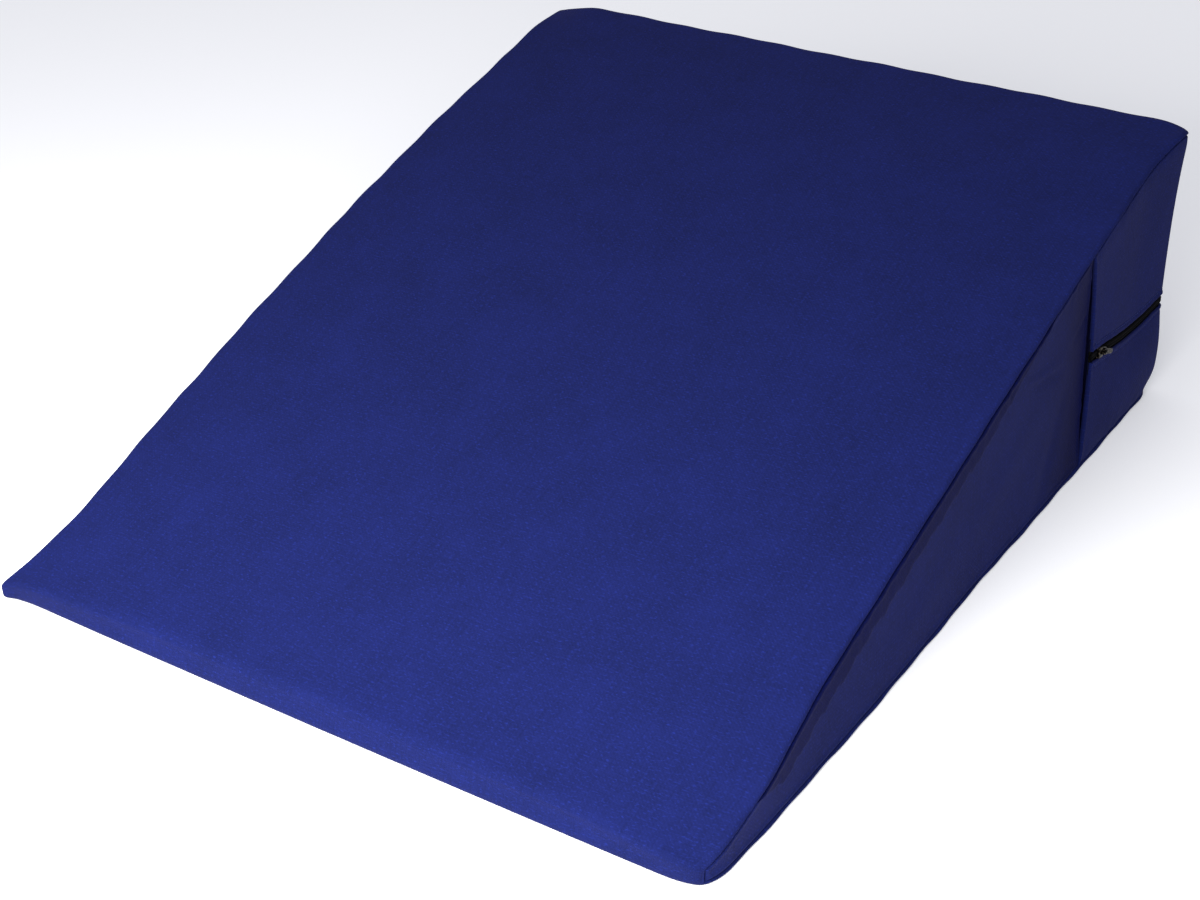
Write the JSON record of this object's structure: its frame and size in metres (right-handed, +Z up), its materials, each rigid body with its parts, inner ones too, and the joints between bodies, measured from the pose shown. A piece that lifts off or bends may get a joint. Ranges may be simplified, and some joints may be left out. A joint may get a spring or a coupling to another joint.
{
  "type": "wedge pillow",
  "caption": "Foam wedge cushion in a plain zipped cotton cover: a long slope from a thin nose up to a tall back, lying on its flat underside.",
  "frame": {"origin": "middle of the footprint, on the surface that the pillow lies on", "axes": "+X across the pillow to its right side as seen from the nose, +Y from the thin nose to the tall back, +Z up"},
  "size_m": [0.5189, 0.6172, 0.203],
  "materials": {
    "cover_cloth": "plain weave, matt",
    "zip_tape": "woven tape, matt",
    "zip_coil": "nylon, satin",
    "zip_metal": "blackened, satin"
  },
  "bodies": {
    "root": {"filled_wedge": "cover_cloth", "side_panel_right": "cover_cloth", "side_panel_left": "cover_cloth", "zip_strip_upper": "cover_cloth", "zip_strip_lower": "cover_cloth", "zip_tape_upper": "zip_tape", "zip_tape_lower": "zip_tape", "zip_coil": "zip_coil", "zip_slider": "zip_metal", "zip_pull": "zip_metal"}
  },
  "joints": []
}
